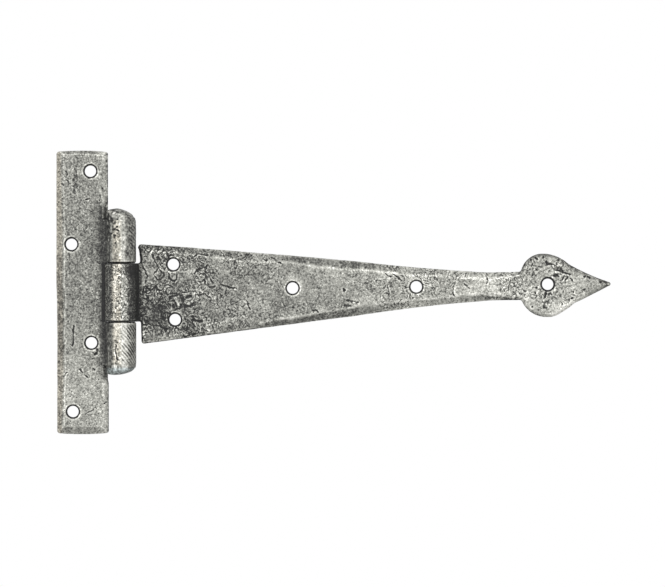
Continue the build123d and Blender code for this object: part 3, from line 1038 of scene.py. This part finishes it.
def outer_knuckle_work(points):
    """The dents, file strokes and marks of the two outer knuckles, and their tone, with a painted highlight near
    the front and painted shade on the flanks.
    """
    across, height = barrel_place(points), points[:, 2]
    strokes, filed = knuckle_strokes(points)
    speckled = np.where(height > 0, ramp(height, 19, 24) * (1 - ramp(across, -0.3, 0.1)), 0.4)
    spots = pits(points, 1.2, 0.42, 85) * (1 - filed) * speckled
    blotch = noise(points, 1.25, 96) * speckled * (across < 0.1)
    blotches = ramp(blotch, 0.1, 0.4) - 0.5 * ramp(-blotch, 0.15, 0.4)
    marks = cut_marks(points, BARREL_MARKS) * (points[:, 1] < PIN_Y + 2)
    seam = seam_at(points, SEAM_HEIGHT, SEAM_REACH)
    cut = 0.05 + 0.05 * noise(points, 5, 82) + 0.12 * strokes + 0.1 * spots + 0.06 * grain(points, 1.1)
    cut = cut * (1 - 0.9 * ramp(across, 0.85, 0.97) * (height < 0)) + shoulder(points)
    high, low = by_place(across, UPPER_KNUCKLE_BRUSHING_AND_LIGHT), by_place(across, LOWER_KNUCKLE_BRUSHING_AND_LIGHT)
    tone = np.where(height > 0, high, low) + 0.1 * noise(points, 2.6, 89)
    tone = np.where(points[:, 1] < PIN_Y, tone, BEHIND_TONE)
    patina = 0.34 * strokes + 0.5 * spots + 1.6 * marks + 0.8 * seam + 0.5 * blotches
    patina = patina + 0.16 * flecks(points, 0.9, 99) * (1 - 0.6 * filed)
    return np.clip(cut + marks + SEAM_ROUNDING * seam, 0, 1.4), tone, patina


print("the outer knuckles' crest is brushed to", by_place(0, UPPER_KNUCKLE_BRUSHING_AND_LIGHT))

# %% The middle knuckle
# Tone round the middle knuckle: brushing, with a painted highlight left of the front and painted shade on the
# right flank.
MIDDLE_KNUCKLE_BRUSHING_AND_LIGHT = (
    (-1, 0), (-0.97, 0.25), (-0.86, 0.16), (-0.74, 0.21), (-0.6, 0.19), (-0.5, 0.45), (-0.4, 0.73),
    (-0.3, 0.61), (-0.2, 0.48), (-0.12, 0.38), (0, 0.37), (0.11, 0.48), (0.25, 0.53), (0.36, 0.46),
    (0.5, 0.15), (0.6, 0.07), (0.7, 0.03), (1, -0.04),
)


def middle_knuckle_work(points):
    """The rough swirls of the middle knuckle, and its tone, with a painted highlight left of the front and painted
    shade on the right flank.
    """
    across, height = barrel_place(points), points[:, 2]
    depth, outline = scale_islands(points, 3.2, 2.0, 300)
    spots = pits(points, 1.9, 0.5, 86)
    leaning = points * (1, 1, 0.55) + points[:, [2]] * (0.5, 0, 0)
    dashes = ramp(noise(leaning, 0.9, 90), 0.15, 0.5)
    dashes = dashes * ramp(across, -0.25, -0.1) * (1 - ramp(across, 0.45, 0.6))
    cut = 0.04 + 0.05 * noise(points, 4, 83) + 0.14 * depth + 0.1 * outline
    cut = cut + 0.12 * spots + 0.08 * grain(points)
    black_corner = ramp(across, 0.1, 0.25) * ramp(height, 6, 7.5)
    tone = by_place(across, MIDDLE_KNUCKLE_BRUSHING_AND_LIGHT)
    tone = tone + 0.1 * noise(points, 2.2, 94) - 0.25 * black_corner
    tone = np.where(points[:, 1] < PIN_Y, tone, BEHIND_TONE)
    seam = seam_at(points, SEAM_HEIGHT, SEAM_REACH)
    patina = 0.32 * outline + 0.3 * spots - 0.5 * dashes + 0.8 * seam + 0.16 * flecks(points, 1.0, 109)
    return np.clip(cut + SEAM_ROUNDING * seam, 0, 0.5), tone, patina


print("the middle knuckle's crest is brushed to", by_place(0, MIDDLE_KNUCKLE_BRUSHING_AND_LIGHT))

# %% [markdown]
# ## The strap
#
# The root of the strap took the most heat, so it is the scaliest. It is also the darkest, and the tone
# rises along the bar to the spade: this rise is painted light. The skin is made first: blows, islands of
# scale, pits and cracks. Then the outline strays a little, as the hammer left it, and the brush comes last.

# %% Scale, blows and cracks on the strap's face
SCALINESS = (
    (24, 1.0), (46, 1.0), (53, 0.75), (62, 0.5), (78, 0.32), (100, 0.2), (122, 0.28), (133, 0.6),
    (155, 0.55), (165, 0.45), (185, 0.5), (218, 0.35),
)
FLECKED = ((24, 0.15), (42, 0.14), (56, 0.08), (150, 0.06), (186, 0.12), (218, 0.12))


def blows(points, strong, weak, seed):
    """Broad hammer blows with smaller ones among them, as depths."""
    return strong * (0.5 + 0.5 * noise(points, 9, seed)) + weak * (0.5 + 0.5 * noise(points, 4, seed + 1))


def strap_skin(points):
    """The relief of the strap's face, and the black that its dips and cracks hold."""
    scaly = by_place(points[:, 0], SCALINESS) * (0.8 + 0.6 * noise(points, 13, 61))
    scaly = np.clip(scaly, 0, 1.2)
    depth, outline = scale_islands(points, 5.5, 2.6, 100)
    small_depth, small_outline = scale_islands(points, 2.4, 1.7, 200)
    patchy = 0.25 + 0.95 * ramp(noise(points, 6, 97), -0.35, 0.15)
    outlines = scaly * patchy * (outline + 0.4 * small_outline)
    spots = pits(points, 3.0, 0.5, 7) * (0.35 + 0.65 * scaly)
    flecked = by_place(points[:, 0], FLECKED) * (0.5 + 0.6 * patchy) * flecks(points, 0.85, 98)
    # The glints are painted highlights on crests that are also rubbed bright.
    marks, rubbed = cut_marks(points, STRAP_MARKS), cut_marks(points, STRAP_GLINTS)
    relief = blows(points, 0.16, 0.08, 1) + scaly * (0.17 * depth + 0.06 * small_depth * patchy)
    relief = relief + 0.13 * outlines + (0.05 + 0.04 * scaly) * grain(points) + 0.16 * spots
    relief = relief + marks + 0.15 * np.maximum(flecked, 0)
    patina = 0.52 * outlines + 0.5 * spots + 1.8 * marks + 0.2 * scaly * depth + flecked - 0.55 * rubbed
    return relief, patina


print("scaliness at the root and in the middle:", by_place([30, 100], SCALINESS))

# %% Where the strap's outline strays
SPADE_MIDDLE = from_photo((520, 285), (611, 284))
LOWER_FLANK = from_photo(
    (548, 316.5), (560, 314.9), (566, 310.8), (572, 306), (579, 301.5), (588, 296), (600, 290),
)
FLANK_LIFT = (
    (194, 0.0), (196, 0.25), (198, 0.75), (200.5, 0.95), (203, 0.7), (205.5, 0.4), (209, 0.2), (213, 0.0),
)
EAR_FOOT = 12.1                        # the height at which the root's upper corner starts
EAR_IN = ((0.3, 18.7), (0.65, 17.8), (0.5, 16.1), (0.35, 14.4), (0.3, 12.8))


def strap_strays(points):
    """Moves that lift the spade's lower flank and draw the root's upper corner in."""
    x, _, z = points.T
    middle, flank = height_along(points, SPADE_MIDDLE), height_along(points, LOWER_FLANK)
    moves = np.zeros_like(points)
    moves[:, 2] = by_place(x, FLANK_LIFT) * np.clip((middle - z) / (middle - flank), 0, 1) ** 1.5
    moves[:, 0] = place_up(points, EAR_IN) * (1 - ramp(x, 24.5, 28)) * (z > EAR_FOOT)
    return moves


print("the lower flank is lifted by up to", max(lift for _, lift in FLANK_LIFT), "mm")

# %% How bright the strap is brushed and painted lit
# Brushing and painted light together: the rise towards the spade is painted light.
STRAP_BRUSHING_AND_LIGHT = (
    (24, 0.43), (35, 0.44), (48, 0.45), (58, 0.49), (90, 0.47), (100, 0.5), (110, 0.53), (120, 0.57),
    (135, 0.61), (150, 0.63), (165, 0.71), (178, 0.66), (190, 0.59), (205, 0.64), (218, 0.55),
)
# Painted shade on the upper and lower bevels, by place along the strap; below 0 a bevel is painted lighter.
UPPER_BEVEL_PAINTED_SHADE = (
    (24, -0.03), (46, 0.05), (60, 0), (72, -0.02), (90, 0.13), (110, 0.16), (120, 0.2), (130, 0.03),
    (145, 0.1), (152, -0.06), (158, -0.06), (165, 0.16), (171, 0.1), (178, -0.1),
)
LOWER_BEVEL_PAINTED_SHADE = (
    (24, -0.11), (33, -0.12), (45, -0.05), (58, 0.08), (65, 0.02), (71, 0.01), (83, 0.17), (95, 0.14),
    (108, 0.13), (120, 0.17), (130, 0.07), (140, -0.09), (155, 0.12), (168, 0.22),
)


def strap_tone(points, upper, lower):
    """The tone of the strap's face: its flat, painted brighter towards the spade, its two bevels with painted
    shade, and the dark lower half of its root.
    """
    x, _, z = points.T
    on_upper = by_place(x, UPPER_BEVEL_PAINTED_SHADE) * ramp(upper, 0, 0.4)
    on_lower = by_place(x, LOWER_BEVEL_PAINTED_SHADE) * ramp(lower, 0, 0.4)
    uneven = 0.1 * noise(points, 12, 62) + 0.08 * noise(points, 2.2, 66)
    low_root = ramp(-z, 0, 4) * (1 - ramp(x, 36, 44)) * (1 - 1.2 * ramp(-z, 14.5, 17.5))
    return by_place(x, STRAP_BRUSHING_AND_LIGHT) - on_upper - on_lower + uneven - 0.1 * low_root


print("the strap is brushed to", by_place([30, 100, 170], STRAP_BRUSHING_AND_LIGHT))

# %% The strap's ridges, spade and root
ROOT_EDGE = from_photo(
    (137.4, 247), (138.3, 249), (138.8, 253), (139.5, 257), (139.5, 262), (137, 263.5), (137, 319),
    (140.4, 321), (140.4, 343),
)
LEAF_START = PIN_X + MIDDLE_RADIUS - 0.3


def painted_ridge_highlight(points, bevels):
    """The bright line where a bevel meets the flat: a painted highlight, on a ridge that is also burnished."""
    line = ramp(bevels, 0.01, 0.06) * (1 - ramp(bevels, 0.1, 0.3))
    return line * (0.6 + 0.7 * noise(points, 5, 68))


def root_painted_shade(points):
    """Painted shade on the strap's root wall, beside the outer knuckles and under the tongue."""
    beyond = points[:, 0] - place_up(points, ROOT_EDGE)
    return (1 - ramp(beyond, 0.35, 1.0)) * ramp(points[:, 0], LEAF_START - 0.3, LEAF_START)


def spade_foot_highlight(points):
    """1 on the lower half of the spade, where a painted highlight makes it the brightest."""
    return ramp(points[:, 0], 188, 196) * ramp(-points[:, 2], 0, 3)


def spade_tone(points, rim):
    """What the spade's darker upper rim and tip take off the tone, and the painted highlight on its lower half
    adds.
    """
    x, _, z = points.T
    foot = spade_foot_highlight(points) * (0.19 * ramp(-z, 3, 6) + 0.12 * rim) * (1 - ramp(x, 208, 213))
    return foot - 0.12 * rim * ramp(z, 2, 6) - 0.15 * ramp(x, 212, 217)


print("the strap's leaf starts at", round(LEAF_START, 2))


# %% Work the strap
def work_strap():
    """Hammers the strap's faces, edges and knuckle, and brushes them."""
    points = strap.points
    y = points[:, 1]
    leaf = ramp(points[:, 0], LEAF_START, STRAP_ROOT + 0.4)
    relief, skin_black = strap_skin(points)
    lip, lip_black = hole_lip(points, "strap_forged")
    upper, lower = strap_bevels(points)
    drawn_down = np.maximum(y, np.maximum(upper, lower) - GAUGE) - y
    knuckle_cut, knuckle_tone, knuckle_black = middle_knuckle_work(points)
    moves = np.zeros_like(points)
    moves[:, 1] = leaf * (drawn_down + face_share(points) * (relief + lip) - back_dents(points))
    moves += press_barrel(points, knuckle_cut * (1 - leaf)) + close_seam(points, 1) * (1 - leaf)[:, None]
    moves += press_walls(strap, leaf)
    moves += strap_strays(points)
    strap.push(moves, strap_low, strap_high)
    # The ridge lines are painted highlights, taken off the black.
    black = leaf * face_share(points) * (skin_black - 0.28 * painted_ridge_highlight(points, upper + lower))
    # The root wall beside the knuckles gets painted shade.
    black += lip_black + 0.7 * root_painted_shade(points) + knuckle_black * (1 - leaf)
    # Less black on the spade's lower half, as part of its painted highlight.
    black += 0.3 * edge_black(strap) * leaf * (1 - 0.7 * spade_foot_highlight(points))
    face = BACK_TONE + (strap_tone(points, upper, lower) - BACK_TONE) * face_share(points)
    spade_rim = ramp(points[:, 0], NECK_END - 2, NECK_END + 1) * near_rim(strap)
    # The spade's lower half gets a painted highlight.
    tone = knuckle_tone * (1 - leaf) + leaf * face + spade_tone(points, spade_rim)
    burnish(strap, tone, black, 0.8 * spade_rim)
    # The middle knuckle's cream band tints its painted highlight.
    strap.store("warm", warm_highlight_band(strap.points) * (1 - leaf))


work_strap()

# %% [markdown]
# ## The fixed plate
#
# The plate was forged in one heat, so its face is more even than the strap's. Beside the barrel it is
# painted darkest, as the barrel's shade and its dark reflection in the plate, and its left bevel has a
# warm brown tint. Its lower half stands a little further right than its upper half, and so its edges lean.

# %% Blows and cracks on the plate's face
def plate_skin(points):
    """The relief of the plate's face, and the black that its dips and cracks hold."""
    scaly = 0.3 + 0.25 * noise(points, 11, 63) + 0.15 * ramp(np.abs(points[:, 2]), 30, 50)
    scaly = np.clip(scaly, 0, 1)
    depth, outline = scale_islands(points, 4.0, 2.0, 400)
    spots = pits(points, 2.6, 0.45, 9)
    marks = cut_marks(points, PLATE_MARKS)
    relief = blows(points, 0.14, 0.06, 3) + scaly * (0.12 * depth + 0.06 * outline)
    relief = relief + 0.07 * grain(points) + 0.13 * spots + marks
    patina = 0.25 * scaly * outline + 0.45 * spots + 1.8 * marks + 0.07 * flecks(points, 0.85, 108)
    return relief, patina


def lean(points):
    """The lower half of the plate stands a little further right: 1 where its edges lean most."""
    x, z = points[:, 0], points[:, 2]
    left_side = (1 - ramp(x, -10, -6.5)) * ramp(-z, -8, 12)
    right_side = ramp(x, 6, 9) * ramp(-z, pin_high[2] + 0.8, pin_high[2] + 3)
    return left_side + right_side


LEAN = 0.35
print("the plate's lower edges stand", LEAN, "mm further right")

# %% How bright the plate is brushed and painted lit
# Brushing and painted light together: the plate is painted brighter towards its foot.
PLATE_BRUSHING_AND_LIGHT = (
    (-58, 0.42), (-44, 0.44), (-32, 0.42), (-20, 0.41), (-5, 0.43), (16, 0.45), (23, 0.45), (31, 0.53),
    (43, 0.57), (58, 0.5),
)
# Painted shade on the left bevel, by height; below 0 it is painted lighter.
LEFT_BEVEL_PAINTED_SHADE = ((-58, -0.05), (-20, -0.02), (0, 0.1), (30, 0.12), (58, 0.08))
# Painted shade and painted dark reflection beside the barrel, above and below its middle, by place across.
PAINTED_SHADE_BESIDE_UPPER = ((3.4, 0), (4.2, 0.05), (5.4, 0.05), (6.4, 0.05), (7.2, 0.17), (8, 0.28), (8.8, 0.22))
PAINTED_SHADE_BESIDE_LOWER = ((5.4, 0), (6.4, 0.03), (7.2, 0.1), (8, 0.17), (8.8, 0.32))


def free_of_barrel(points):
    """1 above and below the barrel, and 0 beside it."""
    return ramp(np.abs(points[:, 2]), pin_high[2] - 1, pin_high[2] + 3)


def plate_tone(points, left):
    """The tone of the plate's face, with painted light and shade: brighter towards its foot, its left bevel
    shaded, its right edge lit, and shade beside the barrel.
    """
    x, _, z = points.T
    free = free_of_barrel(points)
    streaks = 1 + 0.8 * noise(points * (1, 1, 0.4), 1.2, 67)
    on_left = by_place(-z, LEFT_BEVEL_PAINTED_SHADE) * ramp(left, 0, 0.4) * streaks
    high, low = by_place(x, PAINTED_SHADE_BESIDE_UPPER), by_place(x, PAINTED_SHADE_BESIDE_LOWER)
    shade_beside_barrel = (low + (high - low) * ramp(z, 8, 14)) * (1 - free)
    # The right edge, above and below the barrel, is painted lighter.
    painted_right_light = free * (np.where(z > 0, 0.07, 0.02) * ramp(x, 5.6, 7) + 0.14 * ramp(x, 8.2, 9.6))
    uneven = 0.06 * noise(points, 9, 64) + 0.05 * noise(points, 3, 65)
    return by_place(-z, PLATE_BRUSHING_AND_LIGHT) - on_left - shade_beside_barrel + painted_right_light + uneven


def painted_gap_shade(points):
    """Painted shade: a black line on the plate along the gap to the middle knuckle."""
    start = PIN_X - MIDDLE_RADIUS - 1.5
    return ramp(points[:, 0], start, start + 0.5) * (1 - ramp(np.abs(points[:, 2]), 11.6, 12.4))


print("the plate is brushed to", by_place([-40, 0, 40], PLATE_BRUSHING_AND_LIGHT))


# %% Work the fixed plate
def work_plate():
    """Hammers the plate's face and edges, files its knuckles, and brushes them."""
    points = plate.points
    x, y = points[:, 0], points[:, 1]
    leaf = 1 - ramp(x, PIN_X - OUTER_RADIUS - 0.5, PIN_X - OUTER_RADIUS + 0.4)
    relief, skin_black = plate_skin(points)
    lip, lip_black = hole_lip(points, "plate_forged")
    left, others = plate_bevels(points)
    drawn_down = (np.maximum(y, np.maximum(left, others) - GAUGE) - y) * (y < 0.5 - GAUGE / 2)
    knuckle_cut, knuckle_tone, knuckle_black = outer_knuckle_work(points)
    moves = np.zeros_like(points)
    moves[:, 1] = leaf * (drawn_down + face_share(points) * (relief + lip) - back_dents(points))
    moves += press_barrel(points, knuckle_cut * (1 - leaf)) + close_seam(points, -1) * (1 - leaf)[:, None]
    moves += press_walls(plate, leaf)
    moves[:, 0] += LEAN * lean(points)
    plate.push(moves, plate_low, plate_high)
    # The gap beside the middle knuckle gets painted shade.
    black = leaf * (face_share(points) * skin_black + 0.75 * painted_gap_shade(points)) + lip_black
    black += knuckle_black * (1 - leaf)
    # Less black on the plate's free right edge, as part of its painted light.
    black += 0.3 * edge_black(plate) * leaf * (1 - 0.6 * free_of_barrel(points) * ramp(x, 9, 10))
    face = BACK_TONE + (plate_tone(points, left) - BACK_TONE) * face_share(points)
    tone = knuckle_tone * (1 - leaf) + leaf * face
    left_flank = 1 - ramp(barrel_place(points), -0.75, -0.6)
    even = np.maximum(seam_at(points, KNUCKLE_END, 1.6), left_flank) * (1 - leaf)
    burnish(plate, tone, black, even)
    # A real brown tint on the left bevel, and the cream tint of the barrel's painted highlight.
    plate.store("warm", ramp(left, 0.1, 0.5) * leaf + warm_highlight_band(plate.points) * (1 - leaf))


work_plate()

# %% [markdown]
# ## The welded pin
#
# Only the pin's two domes show. Each is weld metal, filed flush with its knuckle, so no line may be
# seen between them: the dome takes the knuckle's own strokes and tone, and its edge laps a little
# over the knuckle's end. The upper dome falls off to the right, and the lower one is ground bright
# and carries a painted bluish reflection.

# %% Work the welded pin
CROWN_SETTLES = ((-6, 0.15), (-3.8, 0.14), (-1.3, 0.04), (1.2, 0.3), (3.6, 0.25), (5.3, 0.2))
FOOT_SETTLES = ((-1.3, 0.04), (3.6, 0.05), (5.3, 0.3))
LAP = 0.5
CROWN_TONE, FOOT_TONE = 0.34, 0.4


def work_weld():
    """Files the welded domes flush with the knuckles and laps their edges over the knuckles' ends."""
    points = weld.points
    aside, z = points[:, 0] - PIN_X, points[:, 2]
    above = np.abs(z) - KNUCKLE_END
    cut, tone, patina = outer_knuckle_work(points)
    settle = np.where(z > 0, by_place(aside, CROWN_SETTLES), by_place(aside, FOOT_SETTLES))
    settle = settle * ramp(above, 0.2, 1.4)
    settle += 0.12 * (0.5 + 0.5 * noise(points, 3.5, 84)) * ramp(above, 0.6, 1.8)
    radius = np.hypot(aside, points[:, 1] - PIN_Y)
    lap = LAP * ramp(radius, 5.0, 5.6) * (1 - ramp(above, 0.1, 0.6)) * ramp(above, -0.6, -0.3)
    moves = press_barrel(points, cut * ramp(above, -0.6, -0.3))
    moves[:, 2] -= np.sign(z) * (settle + lap)
    weld.push(moves, pin_low, pin_high)
    foot = z < 0
    end = ramp(above, 0.8, 3.6)
    tone = tone * (1 - end) + end * np.where(foot, FOOT_TONE, CROWN_TONE)
    tone = tone + 0.12 * end * noise(points, 2.0, 95)
    tone = np.where(points[:, 1] < PIN_Y + 1, tone, BEHIND_TONE)
    burnish(weld, tone, patina, 1 - ramp(above, 0.8, 1.8))
    # The lower dome's mask, for its painted bluish reflection.
    weld.store("ground", foot * ramp(above, 0.2, 1.6))


work_weld()

# %% [markdown]
# ## Lighter meshes
#
# The fine skin was only needed for the work. Decimate takes points away where the metal is flat, as
# on the back, and keeps them where it is rough, until no piece has more than a set number of triangles.

# %% Thin the meshes
MOST_TRIANGLES = 190000


def triangle_count(piece):
    """How many triangles a piece has."""
    return sum(len(face.vertices) - 2 for face in piece.data.polygons)


def thin(forging):
    """Decimates a worked piece to at most MOST_TRIANGLES triangles."""
    piece = forging.piece
    bpy.ops.object.select_all(action="DESELECT")
    bpy.context.view_layer.objects.active = piece
    piece.select_set(True)
    triangles = triangle_count(piece)
    if triangles > MOST_TRIANGLES:
        decimate = piece.modifiers.new("thin_flats", "DECIMATE")
        decimate.ratio = MOST_TRIANGLES / triangles
        bpy.ops.object.modifier_apply(modifier=decimate.name)
    bpy.ops.object.shade_smooth()
    print(piece.name, "had", triangles, "triangles and has", triangle_count(piece))


for forging in (plate, strap, weld):
    thin(forging)

# %% [markdown]
# ## The pewter finish
#
# A pewter patina starts as a black one. The iron is blackened all over, brushed until its crests are
# bare and bright, and waxed. So one value decides everything: where the stored burnish, with the light
# and shade painted into it, is high, the surface is pale, metallic and smoother, and where it is low the
# black is left. Fine noise breaks it up, because the brush skips every grain of the skin.

# %% Mix the finish
DARK_TO_BRIGHT = [
    (0.0, (0.014, 0.014, 0.014)), (0.25, (0.085, 0.085, 0.078)), (0.5, (0.295, 0.296, 0.268)),
    (0.75, (0.53, 0.53, 0.485)), (1.0, (0.86, 0.85, 0.80)),
]
# WARM_TINT tints the left bevel and the barrel's painted highlight.
WARM_TINT, COOL_TINT = (1.06, 1.0, 0.93), (0.9, 1.0, 1.08)


def pewter(name, tint, tint_mask):
    """The brushed pewter patina, with a tint where a stored mask says so."""
    metal = Finish(name)
    grains = metal.noise(0.75, 0.7) - 0.5
    blotches = metal.noise(2.6, 0.6) - 0.5
    # The bared metal together with the painted light and shade of the stored value.
    bare_and_lit = (metal.worked("burnish") + grains * 1.15 + blotches * 0.4).clamped()
    colour = metal.node("ShaderNodeValToRGB", {"stops": DARK_TO_BRIGHT}, {"Fac": bare_and_lit})
    colour = metal.blend(metal.worked(tint_mask), colour, metal.tinted(colour, tint))
    height = metal.noise(0.6, 0.65)
    bump = metal.node("ShaderNodeBump", {}, {"Strength": 0.6, "Distance": 0.0003, "Height": height})
    metal.set(Base_Color=colour, Metallic=0.25 + bare_and_lit * 0.45, Roughness=0.62 - bare_and_lit * 0.24, Normal=bump)
    return metal.material


plate_finish = pewter("pewter_patina_plate", WARM_TINT, "warm")
strap_finish = pewter("pewter_patina_strap", WARM_TINT, "warm")
# COOL_TINT paints a bluish reflection on the lower dome.
weld_finish = pewter("pewter_patina_weld_painted_reflection", COOL_TINT, "ground")
print("finishes:", [finish.name for finish in (plate_finish, strap_finish, weld_finish)])

# %% Dress the pieces and put them on their bodies
for forging, finish, node, body, slot in (
    (plate, plate_finish, "wall_plate", "fixed_side", "forged_plate"),
    (strap, strap_finish, "strap", "strap_side", "forged_strap"),
    (weld, weld_finish, "hinge_pin", "fixed_side", "dressed_weld"),
):
    forging.piece.data.materials.append(finish)
    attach(forging.piece, body)
    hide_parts(node)
    print(forging.piece.name, "stands for", node, "and rides on", body)

# %% [markdown]
# ## The box
#
# Every move of the metalwork is clipped to the packed piece's box.
